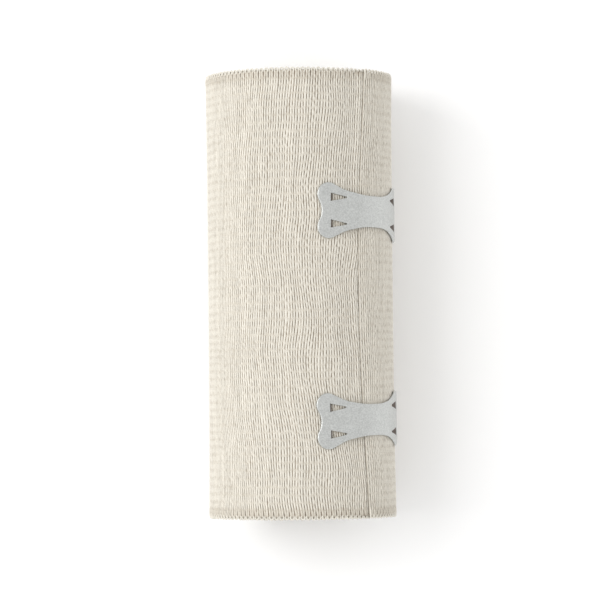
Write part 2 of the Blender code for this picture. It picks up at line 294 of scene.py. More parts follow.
CREST_COLOUR = (0.745, 0.710, 0.632, 1.0)
FLANK_COLOUR = (0.50, 0.452, 0.375, 1.0)
# the valleys: nearly black for the painted shade deep between the ribs, and the tan elastic
SHADED_VALLEY_COLOUR = (0.10, 0.077, 0.051, 1.0)
ELASTIC_COLOUR = (0.20, 0.143, 0.10, 1.0)
TO_FLANK = (0.08, 0.50)  # crest shades between which a valley turns into a rib's flank
TO_CREST = (0.45, 0.92)  # and the flank into the crest
STRAND_LENGTH = 0.55 * MM  # of one strand's turn in the cotton yarn
STRAND_SLANT = 1.3  # strands across one rib
STRAND_HEIGHT = 0.05
FIBRE_SIZE = 0.12 * MM
FIBRE_HEIGHT = 0.30
FIBRE_BUMP = (0.12 * MM, 0.6)  # distance and strength
YARN_GRAIN = 0.32 * MM
YARN_SHADES = (0.92, 1.06)
SLUB_SIZE = 5.0 * MM
SLUB_SHADES = (0.975, 1.015)
RIB_SHADES = (0.97, 1.02)
CLOTH_ROUGHNESS = 0.93
CLOTH_SPECULAR = 0.25
CLOTH_SHEEN = 0.10
SHEEN_ROUGHNESS = 0.5


def crepe_material():
    """Cream cotton on the crests, down to tan elastic and painted shade in the valleys, with slubs
    and fine fibres.

    "crest" is a crest shade from 0 in a valley to 1 on a crest: lower values give darker colours,
    which paints shade into the valleys, and on the selvage loops onto their flanks and undersides.
    "place" is a point's place in ribs: its whole part picks each rib's own shade.  The yarn's
    strands lie aslant, so their phase grows along the rib ("length", in metres) and across it.
    """
    material, tree, shader = new_material("crepe_cloth")
    spot = node(tree, "ShaderNodeTexCoord").outputs["Object"]
    crest, place, length = attributes(tree, "crest", "place", "length")
    across = calculate(tree, "FRACT", place)
    along = calculate(tree, "DIVIDE", length, STRAND_LENGTH)
    turns = calculate(tree, "MULTIPLY_ADD", across, STRAND_SLANT, along)
    strand = calculate(tree, "SINE", calculate(tree, "MULTIPLY", turns, 2 * math.pi))
    strands = calculate(tree, "MULTIPLY", strand, STRAND_HEIGHT)
    rough = calculate(tree, "MULTIPLY_ADD", noise(tree, spot, FIBRE_SIZE), FIBRE_HEIGHT, strands)
    height = calculate(tree, "ADD", crest, calculate(tree, "SUBTRACT", rough, FIBRE_HEIGHT / 2))

    valley_number = own_number(tree, calculate(tree, "ROUND", place))
    # painted shade: each valley lies between nearly black and tan elastic, and lower points get
    # darker colours
    deep = blend_colour(tree, valley_number, SHADED_VALLEY_COLOUR, ELASTIC_COLOUR)
    flank = blend_colour(tree, spread(tree, height, *TO_FLANK), deep, FLANK_COLOUR)
    cotton = blend_colour(tree, spread(tree, height, *TO_CREST), flank, CREST_COLOUR)
    rib_number = own_number(tree, calculate(tree, "FLOOR", place))
    rib_shade = spread(tree, rib_number, 0.0, 1.0, *RIB_SHADES)
    slub_shade = mottled(tree, noise(tree, spot, SLUB_SIZE, detail=3.0), SLUB_SHADES)
    yarn_shade = mottled(tree, noise(tree, spot, YARN_GRAIN, detail=3.0), YARN_SHADES)
    shade = calculate(tree, "MULTIPLY", rib_shade, slub_shade)
    shade = calculate(tree, "MULTIPLY", yarn_shade, shade)
    fill_in(
        tree,
        shader,
        [
            ("Base Color", shaded(tree, cotton, shade)),
            ("Normal", bumped(tree, rough, *FIBRE_BUMP)),
            ("Roughness", CLOTH_ROUGHNESS),
            ("Sheen Weight", CLOTH_SHEEN),
            ("Sheen Roughness", SHEEN_ROUGHNESS),
            ("Specular IOR Level", CLOTH_SPECULAR),
        ],
    )
    return material


def finished(piece, material, replaced):
    """Give a piece its material, its node and its place on the part's one body."""
    piece.data.materials.append(material)
    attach(piece, "root")
    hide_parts(replaced)
    return piece


def arc_ribs(first, last):
    """Places in ribs from first to last, a real rib apart along the cloth and not by angle.

    Places are counted by angle, and an inner turn is shorter, so it holds fewer real ribs.
    """
    fine = np.linspace(first, last, ARC_SAMPLES)
    radius = LOOSE_END_RADIUS - TURN_THICKNESS * fine / RIBS_A_TURN
    length = np.concatenate([[0.0], np.cumsum(np.diff(fine) * (radius[1:] + radius[:-1]) / 2)])
    steps = int(length[-1] / LOOSE_END_RADIUS) // 2 * 2
    return np.interp(np.linspace(0.0, length[-1], steps + 1), length, fine)


inner_ribs = arc_ribs(OUTER_RIBS, TURNS * RIBS_A_TURN)
edge_turn = inner_ribs[:, None] / RIBS_A_TURN
from_edge, depth_share = np.array(BAND_SECTION).T
side = np.repeat([-1.0, 1.0], len(BAND_SECTION))
face_from_edge = np.concatenate([from_edge, from_edge[::-1]])
face_depth = np.concatenate([depth_share, depth_share[::-1]])
outer_y = side * (BODY_HALF + uneven_edge(edge_turn, side) - face_from_edge * MM)
inner_y = outer_y[:, -2:0:-1]
inner_depth = 1.0 - face_depth[-2:0:-1]
band_depth = np.concatenate([face_depth, inner_depth]) * CLOTH_THICKNESS
band_y = np.concatenate([outer_y, inner_y], axis=1)
winding = closed_tubes(
    "bandage_winding",
    wound(inner_ribs[:, None], band_y, band_depth)[None],
    {"crest": BAND_SHADE, "place": inner_ribs[:, None], "length": band_y},
)
crepe = crepe_material()
finished(winding, crepe, "bandage_roll")

# ======== The outer turn ========
# The last turn of the strip, whose face shows.  Each rib is a soft cord of cotton.  Every 2.6 mm a
# row of threads crosses the ribs: it bridges the valleys and pinches the cords into long beads.
# The turn is made in three stretches that meet in a valley, each a closed length of cloth.

STRETCHES = 3
ACROSS = np.array([-1.0, -0.5, 0.0, 0.5])  # places on one rib, -1 in the valley before it
ROW_STEP = 0.5 * MM  # between the points of the face along the roll
RIB_HEIGHT = 0.36 * MM
DOME_POWER = 0.9  # less than 1 makes a rib fuller than an ellipse
CROSSING_PITCH = 2.6 * MM
CROSSING_POWER = 2
BEAD_DROP = 0.26  # a rib is so much lower and narrower at a crossing
BEAD_PINCH = 0.17
BRIDGE_HEIGHT = 0.79  # of a valley at a crossing, in rib heights
VALLEY_SHADE = 0.85  # crest shade for each rib height there: painted shade, darker than a rib as high
SELVAGE = 4.8 * MM  # towards both edges the ribs grow thin, low and less bridged
SELVAGE_PINCH = 0.34
SELVAGE_DROP = 0.15
SELVAGE_BRIDGES = 0.3
HEM = 2.2 * MM  # along both edges the gap inside each selvage loop is filled with cloth
HEM_SHADE = 0.72
CALM_EDGE = 9.0 * MM  # nearer the edges, and near the loose end, the ribs sway less
CALM_RIBS = 8.0
# The cut edge is coloured darker than the cream crests: partly the tan of its cut elastic threads,
# partly painted shade along the step down to the turn beneath.
CUT_EDGE = [
    # share of a rib from the loose end, share of the cloth's thickness, crest shade
    (0.10, 0.50, 0.45),
    (0.20, 0.27, 0.72),
]
PLAIN_ROWS = np.array([1.0, 0.75, 0.4, 0.0, -0.4, -0.75, -1.0])  # of the inner face
# crest shade of the inner face: painted shade, as it lies against the turn beneath
INNER_SHADE = 0.3
EDGE_ROUND = 0.15 * MM  # how far the rounded selvages stand past the woven body
EDGE_DEPTHS = [0.5, 0.8]  # of their points, as shares of the cloth's thickness
END_PRESS = 0.42 * MM  # the loose end is pressed thin over its first ribs
END_THINNED = 0.45
END_RIBS = 4.0
UNDER_RISE = 0.58 * MM  # and the turn under it swells up along it, more towards the back
UNDER_TAPER = 0.18
UNDER_RIBS = 4.5
CORNER_SHADE = 0.5  # the painted valley shade is lifted in the corner between the two, never as dark as a valley
CORNER_RIBS = 1.5
CLIP_LENGTH = 43.5 * MM
TOOTH_BASE = 4.3 * MM  # from the clip's end
TOOTH_SPREAD = 9.0 * MM
TEETH = [(end, side * TOOTH_SPREAD / 2) for end in (False, True) for side in (-1, 1)]
CLIPS = [
    # name, y mm, where its end lies round the roll in degrees, turned by degrees
    ("clip_upper", 27.7, 11.3, -0.4),
    ("clip_lower", -42.87, 9.7, 1.4),
]
PULL_DEPTH = 0.6 * MM  # each tooth of a clip pulls the cloth down round it
PULL_REACH = 1.5 * MM
SWAYS = [
    # seed, metres sideways, ribs that sway together, metres along the roll
    (21, 0.40 * MM, 14.0, 10.0 * MM),
    (22, 0.16 * MM, 6.0, 4.0 * MM),
    (23, 0.04 * MM, 1.6, 1.6 * MM),
]
RIB_SWELL = (35, 0.06, 18.0, 18.0 * MM)  # as in that table, but in rib heights
ROW_WANDER = (36, 0.15, 40.0, 6.0 * MM)  # and in crossing pitches


NOISE_WAVES = 8


def cloth_noise(seed, size, together, along, place, y):
    """A few sine waves over the cloth, in random directions and phases; about the size high.

    Neighbouring ribs go together over the first length, in ribs, and the second is in metres.
    """
    rng = np.random.default_rng(seed)
    total = 0.0
    for _ in range(NOISE_WAVES):
        a, b = rng.normal(0, 1 / together), rng.normal(0, 1 / along)
        total = total + np.sin(a * place + b * y + rng.uniform(0, 2 * math.pi))
    return size * total / math.sqrt(NOISE_WAVES / 2)


def held(distance, reach):
    """A distance as a share of its reach, held between 0 and 1."""
    return np.clip(distance / reach, 0.0, 1.0)


def smoothstep(share):
    """A share from 0 to 1 that starts and stops gently: three times its square less two cubes."""
    return share * share * (3.0 - 2.0 * share)


rows_y = np.linspace(-BODY_HALF, BODY_HALF, round(2 * BODY_HALF / ROW_STEP) + 1)
off_edge = BODY_HALF - np.abs(rows_y)
off_selvage = held(off_edge, SELVAGE)
off_hem = held(off_edge, HEM)
calm = smoothstep(held(off_edge, CALM_EDGE))

# What each rib does on its own: about how much, and metres between its random heights.
ROW_SHIFT = 0.08  # its crossings out of row all along, in crossing pitches
VALLEY_WANDER = (0.05, 4.0 * MM)  # in ribs
ROW_DRIFT = (0.07, 3.5 * MM)  # in crossing pitches
RIB_UNEVEN = (0.05, 4.0 * MM)  # in rib heights
BRIDGE_UNEVEN = (0.30, 2.5 * MM)  # as shares of a bridge's height
STRAY_THREADS = (0.18, 0.9 * MM)  # these also bridge the valleys between the crossings
STRAY_PATCHES = (0.08, 6.0 * MM)
END_FRAY = (0.08, 1.3 * MM)  # in ribs
BRIDGE_MEAN = 0.90
STRAY_MEAN = 0.02
CHANCE_SEED = 7

chance = np.random.default_rng(CHANCE_SEED)


def own_waver(size, spacing):
    """For each rib on its own, a smooth random line along the roll; about the size high.

    Random heights stand at even spacings from a random start, joined by smoothstep curves.
    """
    knots = chance.normal(size=(OUTER_RIBS + 2, math.ceil(2 * BODY_HALF / spacing) + 3))
    spot = (rows_y + BODY_HALF) / spacing + chance.random((OUTER_RIBS + 2, 1))
    whole = spot.astype(int)
    low, high = (np.take_along_axis(knots, whole + step, axis=1) for step in (0, 1))
    return size * (low + (high - low) * smoothstep(spot - whole))


row_shift = ROW_SHIFT * chance.normal(size=(OUTER_RIBS + 2, 1))
valley_wander = calm * own_waver(*VALLEY_WANDER)
row_drift = own_waver(*ROW_DRIFT)
rib_uneven = own_waver(*RIB_UNEVEN)
bridge_gain = BRIDGE_MEAN + own_waver(*BRIDGE_UNEVEN)
bridge_chance = STRAY_MEAN + own_waver(*STRAY_THREADS) + own_waver(*STRAY_PATCHES)
end_fray = own_waver(*END_FRAY)[: len(CUT_EDGE)]


def valley_place(number):
    """Where a valley runs, in ribs: its own number, wandering a little along the roll."""
    return number + valley_wander[number[:, 0]]


def pulled_down(place, y):
    """How far the clips' teeth pull the cloth down: a soft pit where each of them goes in."""
    pit = 0.0
    rib_arc = 2 * math.pi * LOOSE_END_RADIUS / RIBS_A_TURN
    for _, y_mm, start, turned in CLIPS:
        turn = math.radians(turned)
        for at_far_end, across in TEETH:
            along = (CLIP_LENGTH / 2 - TOOTH_BASE - PULL_REACH / 2) * (1 if at_far_end else -1)
            s = CLIP_LENGTH / 2 + along * math.cos(turn) - across * math.sin(turn)
            tooth_y = y_mm * MM + along * math.sin(turn) + across * math.cos(turn)
            angle = start + math.degrees(s / (LOOSE_END_RADIUS - TURN_THICKNESS / 2))
            rib = (angle - loose_end_angle(tooth_y)) % 360.0 / 360.0 * RIBS_A_TURN
            apart = ((place - rib) * rib_arc) ** 2 + (y - tooth_y) ** 2
            pit = pit + PULL_DEPTH * np.exp(-apart / PULL_REACH**2)
    return pit


def outer_face(first, last):
    """The beaded face between two valleys: place, depth, sideways sway, crest shade.

    Columns run along the roll, four a rib.  Across a rib the height is a rounded dome, lower and
    narrower where a row of threads crosses it, and there the valley is raised.  A crossing is a
    cosine along the roll, raised to a power so that it is narrow.  Every other valley lies inside
    a selvage loop, and is filled towards the edges.
    """
    rib = np.append(np.repeat(np.arange(first, last), len(ACROSS)), last)[:, None]
    across = np.append(np.tile(ACROSS, last - first), ACROSS[0])[:, None]
    in_valley = across == ACROSS[0]
    line = rib[:, 0]
    row = rows_y / CROSSING_PITCH + row_shift[line] + row_drift[line]
    row = row + cloth_noise(*ROW_WANDER, rib, rows_y)
    crossing = (0.5 + 0.5 * np.cos(2 * math.pi * row)) ** CROSSING_POWER

    width = (1.0 - BEAD_PINCH * crossing) * (1.0 - SELVAGE_PINCH * (1.0 - off_selvage))
    before, after = valley_place(rib), valley_place(rib + 1)
    place = (before + after) / 2 + across * width * (after - before) / 2
    place = np.where(in_valley, before, place)

    dome = np.sqrt(np.maximum(1.0 - across**2, 0.0)) ** DOME_POWER
    dome = dome * (1.0 - BEAD_DROP * crossing) * (1.0 + rib_uneven[line])
    dome = dome * (1.0 - SELVAGE_DROP * (1.0 - off_selvage))
    bridge = np.clip(crossing * bridge_gain[line] + bridge_chance[line], 0.0, 1.0)
    bridge = bridge * (SELVAGE_BRIDGES + (1.0 - SELVAGE_BRIDGES) * off_selvage)
    in_loop = rib % 2 == 1
    bridge = np.where(in_loop, np.maximum(bridge, 1.0 - off_hem**2), bridge)
    crest = np.where(in_valley, BRIDGE_HEIGHT * bridge, dome)

    swell = 1.0 + cloth_noise(*RIB_SWELL, place, rows_y)
    to_end = 1.0 - held(place, END_RIBS)
    past_end = np.abs(place - RIBS_A_TURN)
    taper = 1.0 + UNDER_TAPER * rows_y / BODY_HALF
    rise = UNDER_RISE * taper * smoothstep(1.0 - held(past_end, UNDER_RIBS))
    sunk = RIB_HEIGHT * (1.0 - crest * swell) + END_PRESS * to_end**2 - rise
    sunk = sunk + pulled_down(place, rows_y)

    sway = sum(cloth_noise(*wave, place, rows_y) for wave in SWAYS)
    sway = sway * calm * held(place, CALM_RIBS)
    # Painted shade: the crest shade follows the height, bridged valleys darker still, and is lifted
    # in the corner by the loose end.  It is also darker towards both edges.
    shade = np.where(in_valley, VALLEY_SHADE * crest, crest)
    shade = np.maximum(shade, CORNER_SHADE * (1.0 - held(past_end, CORNER_RIBS)))
    shade = shade * (HEM_SHADE + (1.0 - HEM_SHADE) * off_hem)
    return place, sunk, sway, shade


def stretch(number):
    """One stretch of the outer turn: its face, two rounded selvages and a plain inner face.

    At both ends the last ring goes straight down into the cloth, halfway to its inner face, and
    is closed there out of sight.
    """
    first = number * OUTER_RIBS // STRETCHES
    last = (number + 1) * OUTER_RIBS // STRETCHES
    place, sunk, sway, shade = outer_face(first, last)
    if number == 0:
        for column, (share, depth, crest) in enumerate(CUT_EDGE):
            place[column] = share + end_fray[column]
            sunk[column] = depth * CLOTH_THICKNESS
            # the cut edge's darker crest shade, partly painted shade along the step
            shade[column] = crest

    column_place = place.mean(axis=1, keepdims=True)
    edge = np.full(len(EDGE_DEPTHS), BODY_HALF + EDGE_ROUND)
    plain_y = np.concatenate([edge, BODY_HALF * PLAIN_ROWS, -edge])
    plain_depth = np.concatenate([EDGE_DEPTHS, np.ones(len(PLAIN_ROWS)), EDGE_DEPTHS[::-1]])
    thinned = 1.0 - END_THINNED * (1.0 - held(column_place, END_RIBS))
    inner_sunk = plain_depth * CLOTH_THICKNESS * thinned
    face = wound(place, rows_y, sunk, sway)
    rings = np.concatenate([face, wound(column_place, plain_y, inner_sunk)], axis=1)

    ends = [0, -1]
    inner_sunk = inner_sunk[ends]
    buried = (sunk[ends].max(axis=1) + inner_sunk.max(axis=1))[:, None] / 2
    end_face = wound(place[ends], rows_y, buried, sway[ends])
    end_inside = wound(column_place[ends], plain_y, (buried + inner_sunk) / 2)
    closing = np.concatenate([end_face, end_inside], axis=1)
    rings = np.concatenate([closing[:1], rings, closing[1:]])

    plain = np.zeros((len(place), len(plain_y)))
    values = {
        "crest": [shade, plain + INNER_SHADE],
        "place": [place, plain + column_place],
        "length": [place * 0 + rows_y, plain + plain_y],
    }
    values = {
        label: np.pad(np.concatenate(both, axis=1), ((1, 1), (0, 0)), "edge")[None]
        for label, both in values.items()
    }
    return closed_tubes(f"outer_turn_{number + 1}", rings[None], values, walls=1)


outer_turn = [
    finished(stretch(number), crepe, "bandage_roll")
    for number in range(STRETCHES)
]

# ======== The selvage loops ========
# At both edges of the strip the cotton turns back: each pair of ribs joins in a small round loop.
# They show as a row of loops round the two rims, and as a spiral of loops on the roll's ends.

LOOP_RADIUS = 0.28 * MM  # of the yarn
LOOP_MIDDLE = 0.08 * MM  # from the body's edge to the widest part of a loop
LOOP_OPENING = math.radians(40.0)  # how far its arch goes on beyond that part
LOOP_BULGE = 1.36  # its width there, in widths of the pair
REACH_SPREAD = 0.12  # loops differ by such shares in reach and width, and lean in or out
WIDTH_SPREAD = 0.10
LOOP_LEAN = 0.12 * MM
OUTWARD_STEP = 0.1 * MM  # on which the outward direction is measured
LEG_END_SUNK = 0.5 * MM
LEG_END_TAPER = 0.35
LOOP_TIP_SUNK = 0.55 * MM
LOOP_PAINTED_SHADES = (0.45, 0.97)  # painted shade: crest shade on a loop's flanks and underside, and painted light on its upper and outer sides
YARN_HALF = 0.45  # how far its colours reach to each side, in ribs
LOOP_KINDS = [
    # where, mm of leg on the cloth, mm sunk, sides, points round the arch
    ("rim", 3.4, 0.34, 8, 9),
    ("end", 0.8, 0.625, 5, 5),
]


def unit(vectors):
    """Vectors made one long."""
    return vectors / np.linalg.norm(vectors, axis=-1, keepdims=True)


def loops(name, side, legs, leg, deep, sides, arch_points):
    """Round tubes bent into loops, one for each pair of legs given as places in ribs.

    A loop's line goes out along one rib, round an ellipse a little wider than the pair, and back
    along the other.  Rings are laid round that line, and its ends taper off inside the cloth.
    """
    near, far = legs[:, :1], legs[:, 1:]
    angle = np.linspace(-LOOP_OPENING, math.pi + LOOP_OPENING, arch_points)
    reach = LOOP_REACH - LOOP_RADIUS - LOOP_MIDDLE
    reach = reach * (1.0 + REACH_SPREAD * chance.uniform(-1, 1, (len(legs), 1)))
    wide = LOOP_BULGE * (1.0 + WIDTH_SPREAD * chance.uniform(-1, 1, (len(legs), 1)))
    lean = LOOP_LEAN * chance.uniform(-1, 1, (len(legs), 1))
    leg_across = np.ones((len(legs), 2))
    leg_out = -leg * np.array([1.0, 0.5]) * leg_across
    across = np.hstack([leg_across, wide * np.cos(angle), -leg_across])
    out = np.hstack([leg_out, LOOP_MIDDLE + reach * np.sin(angle), leg_out[:, ::-1]])

    rib = (near + far) / 2 - across * (far - near) / 2
    edge = np.where(rib < OUTER_RIBS, 0.0, uneven_edge(rib / RIBS_A_TURN, side))
    y = side * (BODY_HALF + edge + out)
    depths = [LEG_END_SUNK, deep, deep, LOOP_TIP_SUNK]
    sunk = np.interp(out, [-leg, -leg / 2, 0.0, LOOP_REACH], depths)
    sunk = sunk + lean * held(out, LOOP_REACH)
    line = wound(rib, y, sunk)
    up = unit(wound(rib, y, sunk - OUTWARD_STEP) - line)
    ahead = unit(np.gradient(line, axis=1))
    beside = unit(np.cross(ahead, up))
    up = np.cross(beside, ahead)

    radius = np.full(out.shape[1], LOOP_RADIUS)
    radius[[0, -1]] *= LEG_END_TAPER
    round_it = 2 * math.pi * np.arange(sides) / sides
    cosine, sine = np.cos(round_it)[:, None], np.sin(round_it)[:, None]
    spokes = beside[:, :, None] * cosine + up[:, :, None] * sine
    rings = line[:, :, None] + radius[:, None, None] * spokes
    rings[..., 2] = np.maximum(rings[..., 2], 0.0)

    steps = np.linalg.norm(np.diff(line, axis=1, prepend=line[:, :1]), axis=-1)
    # painted shade and light: a loop is darker on its flanks and underside and lighter on its upper
    # and outer sides, as light falls on them
    lit_share = np.maximum(sine, -side * cosine)[:, 0]
    flank, top = LOOP_PAINTED_SHADES
    values = {
        "crest": flank + (top - flank) * lit_share,
        "place": np.floor(near)[:, :, None] + 0.5 + YARN_HALF * cosine[:, 0],
        "length": np.cumsum(steps, axis=1)[:, :, None],
    }
    return closed_tubes(name, rings, values)


rim_legs = np.arange(0, OUTER_RIBS - 2, 2)[:, None] + np.array([0.5, 1.5])
end_legs = (inner_ribs[:-1] + inner_ribs[1:]).reshape(-1, 2) / 2
for side, end_name in ((-1, "front"), (1, "back")):
    for (where, leg_mm, deep_mm, *fineness), legs in zip(LOOP_KINDS, (rim_legs, end_legs)):
        name = f"selvage_loops_{where}_{end_name}"
        piece = loops(name, side, legs, leg_mm * MM, deep_mm * MM, *fineness)
        finished(piece, crepe, "bandage_roll")

# ======== The two clips ========
# Each clip is stamped from aluminium sheet in the shape of a dog bone and bent round the roll over
# the loose end.  Four teeth are punched out of its end plates and turned down into the cloth.

CLIP_THICKNESS = 0.5 * MM
NECK_WIDTH = 10.6 * MM
LOBE_RADIUS = 4.0 * MM
LOBE_SPREAD = 5.5 * MM  # from the middle line to a lobe's centre
WAIST_DEPTH = 1.5 * MM
SHOULDER_SLOPE = math.radians(27.5)
SHOULDER_FILLET = 28.0 * MM
CLIP_CLEARANCE = 0.36 * MM
CLIP_RISE = (-13.0, -1.0)  # degrees from the loose end, where the rise to it starts and ends
ARC_STEP = math.radians(6.0)
CLIP_STATIONS = 45
ON_A_CUT = 0.001 * MM  # a point as near as this to a cut lies on it
TOOTH_LENGTH = 6.3 * MM
TOOTH_WIDTH = 3.0 * MM
TOOTH_TIP = 0.4 * MM
TOOTH_TURN = math.radians(68.0)
TOOTH_BEND = 0.6 * MM  # inner radius of its bend
TOOTH_SECTIONS = 5
TOOTH_MARGIN = 0.5 * MM  # an edge as near as this to a tooth's base or side is the tooth's
ROUNDINGS = [
    # on a tooth or its hole, mm, segments
    (False, 0.38, 3),  # the plate's upper rim, rolled over by the punch
    (True, 0.10, 2),
]
ROUNDED_FROM = math.radians(50.0)
SHARP_FROM = math.radians(35.0)


def arc(centre, radius, start, end):
    """Points along an arc of a circle, its two ends included; angles in radians."""
    angle = np.linspace(start, end, max(3, round(abs(end - start) / ARC_STEP) + 1))
    return centre + radius * np.stack([np.cos(angle), np.sin(angle)], axis=1)


def clip_outline():
    """The stamped outline, from four mirrored quarters, as (along, across) points.

    A quarter runs from the middle of the hollow outer edge, round a lobe, down a short straight
    shoulder and along a wide arc into the neck.  The hollow is an arc that touches both lobes.
    """
    hollow_back = (LOBE_SPREAD**2 - WAIST_DEPTH**2) / (2 * WAIST_DEPTH) - LOBE_RADIUS
    touch = math.atan2(LOBE_SPREAD, LOBE_RADIUS + hollow_back)
    hollow = arc((-hollow_back, 0.0), hollow_back + WAIST_DEPTH, 0.0, touch)
    shoulder_top = math.pi / 2 - SHOULDER_SLOPE
    lobe = arc((LOBE_RADIUS, LOBE_SPREAD), LOBE_RADIUS, math.pi + touch, shoulder_top)
    centre_across = NECK_WIDTH / 2 + SHOULDER_FILLET
    drop = lobe[-1][1] - (centre_across - SHOULDER_FILLET * math.cos(SHOULDER_SLOPE))
    foot = lobe[-1][0] + drop / math.tan(SHOULDER_SLOPE)
    centre = (foot + SHOULDER_FILLET * math.sin(SHOULDER_SLOPE), centre_across)
    fillet = arc(centre, SHOULDER_FILLET, -math.pi / 2 - SHOULDER_SLOPE, -math.pi / 2)
    quarter = np.concatenate([hollow, lobe[1:], fillet])
    upper = np.concatenate([quarter, quarter[::-1] * (-1, 1) + (CLIP_LENGTH, 0)])
    return np.concatenate([upper, upper[-2:0:-1] * (1, -1)])


def tooth_hole(at_far_end, across):
    """A tooth's triangular hole: its base towards the clip's end, its tip towards the neck."""
    far = TOOTH_BASE + TOOTH_LENGTH
    half, tip = TOOTH_WIDTH / 2, TOOTH_TIP / 2
    hole = np.array([(TOOTH_BASE, half), (TOOTH_BASE, -half), (far, -tip), (far, tip)])
    if at_far_end:
        hole = hole * (-1, 1) + (CLIP_LENGTH, 0)
    return hole + (0.0, across)


def tooth_profile():
    """A tooth from the side: its upper and lower edge as (along, height), and its half widths.

    Both edges follow an arc round the bend and then run straight to the tip.
    """
    turned = np.linspace(0.0, TOOTH_TURN, TOOTH_SECTIONS)
    sine, cosine = np.sin(turned), np.cos(turned)
    outer = TOOTH_BEND + CLIP_THICKNESS
    used = turned * (TOOTH_BEND + CLIP_THICKNESS / 2)
    tip = (TOOTH_LENGTH - used[-1]) * np.array([cosine[-1], -sine[-1]])
    upper = np.stack([outer * sine, outer * cosine - TOOTH_BEND], axis=1)
    lower = np.stack([TOOTH_BEND * sine, TOOTH_BEND * cosine - TOOTH_BEND], axis=1)
    half_widths = [TOOTH_WIDTH / 2, TOOTH_TIP / 2]
    half = np.interp(np.append(used, TOOTH_LENGTH), [0, TOOTH_LENGTH], half_widths)
    return np.vstack([upper, upper[-1] + tip]), np.vstack([lower, lower[-1] + tip]), half


def clip_radius(angle, y):
    """Radius of the clip's inner side: over the cloth, with a soft rise up to the loose end."""
    past = angle - loose_end_angle(y)
    under = winding_radius(1.0 + np.minimum(past, 0.0) / 360.0, y)
    over = winding_radius(np.maximum(past, 0.0) / 360.0, y)
    rise_start, rise_end = CLIP_RISE
    rise = smoothstep(held(past - rise_start, rise_end - rise_start))
    return under + (over - under) * rise + CLIP_CLEARANCE


def bend(flat, y_middle, start, turned):
    """Carry (along, across, height) points of the flat clip round the roll.

    The clip is turned about its own middle first.  Its length then goes round as an angle, and its
    height out along the radius.
    """
    along, across, height = flat.T
    along = along - CLIP_LENGTH / 2
    turn = math.radians(turned)
    s = CLIP_LENGTH / 2 + along * math.cos(turn) - across * math.sin(turn)
    y = y_middle + along * math.sin(turn) + across * math.cos(turn)
    angle = start + np.degrees(s / (LOOSE_END_RADIUS - TURN_THICKNESS / 2))
    radius = clip_radius(angle, y_middle) + height
    around = np.radians(angle)
    return np.stack([radius * np.sin(around), y, AXIS_HEIGHT + radius * np.cos(around)], axis=1)


def stamp(bm):
    """The flat plate with its holes, given a thickness."""
    for loop in [clip_outline(), *(tooth_hole(end, across) for end, across in TEETH)]:
        verts = [bm.verts.new((p[0], p[1], 0.0)) for p in loop]
        for a, b in zip(verts, verts[1:] + verts[:1]):
            bm.edges.new((a, b))
    bmesh.ops.triangle_fill(bm, edges=bm.edges, use_beauty=True)
    raised = bmesh.ops.extrude_face_region(bm, geom=bm.faces)["geom"]
    for vert in raised:
        if isinstance(vert, bmesh.types.BMVert):
            vert.co.z += CLIP_THICKNESS


def draw_tooth(bm, at_far_end, across):
    """Draw one tooth out of its hole's base edge: round the bend, then to the tip."""
    upper, lower, half_widths = tooth_profile()
    base = CLIP_LENGTH - TOOTH_BASE if at_far_end else TOOTH_BASE
    way = -1.0 if at_far_end else 1.0
    middle = Vector((base, across, CLIP_THICKNESS / 2))
    wall = min(bm.faces, key=lambda face: (face.calc_center_median() - middle).length)
    for section in range(1, len(upper)):
        wall = bmesh.ops.extrude_discrete_faces(bm, faces=[wall])["faces"][0]
        half_way = (upper[section - 1][1] + lower[section - 1][1]) / 2
        for vert in wall.verts:
            edge = upper if vert.co.z > half_way else lower
            side = (vert.co.y - across) / half_widths[section - 1]
            vert.co.x = base + way * edge[section][0]
            vert.co.y = across + side * half_widths[section]
            vert.co.z = edge[section][1]
            # the tooth's faces take the second material, painted dark for the shade it stands in
            for face in vert.link_faces:
                face.material_index = 1


def round_rims(bm):
    """Ease the sharp edges: the plate's outline on its upper side, and all of the teeth's."""
    for for_teeth, size_mm, segments in ROUNDINGS:
        rims = []
        for edge in bm.edges:
            middle = (edge.verts[0].co + edge.verts[1].co) / 2
            past_base = min(middle.x, CLIP_LENGTH - middle.x) - TOOTH_BASE
            past_side = abs(abs(middle.y) - TOOTH_SPREAD / 2) - TOOTH_WIDTH / 2
            on_tooth = past_base > -TOOTH_MARGIN and past_side < TOOTH_MARGIN
            upper = middle.z > CLIP_THICKNESS / 2
            sharp = edge.calc_face_angle(0.0) > ROUNDED_FROM
            if sharp and on_tooth == for_teeth and (for_teeth or upper):
                rims.append(edge)
        bmesh.ops.bevel(
            bm,
            geom=rims,
            offset=size_mm * MM,
            segments=segments,
            profile=0.5,
            affect="EDGES",
            material=-1,
        )


def cut_to_bend(bm, turned):
    """Cut the plate across into short lengths, so that it can follow the roll."""
    turn = math.radians(turned)
    normal = (math.cos(turn), -math.sin(turn), 0.0)
    for station in range(1, CLIP_STATIONS):
        along = (station / CLIP_STATIONS - 0.5) * CLIP_LENGTH
        on_plane = (CLIP_LENGTH / 2 + along * normal[0], along * normal[1], 0.0)
        whole = bm.verts[:] + bm.edges[:] + bm.faces[:]
        bmesh.ops.bisect_plane(bm, geom=whole, dist=ON_A_CUT, plane_co=on_plane, plane_no=normal)


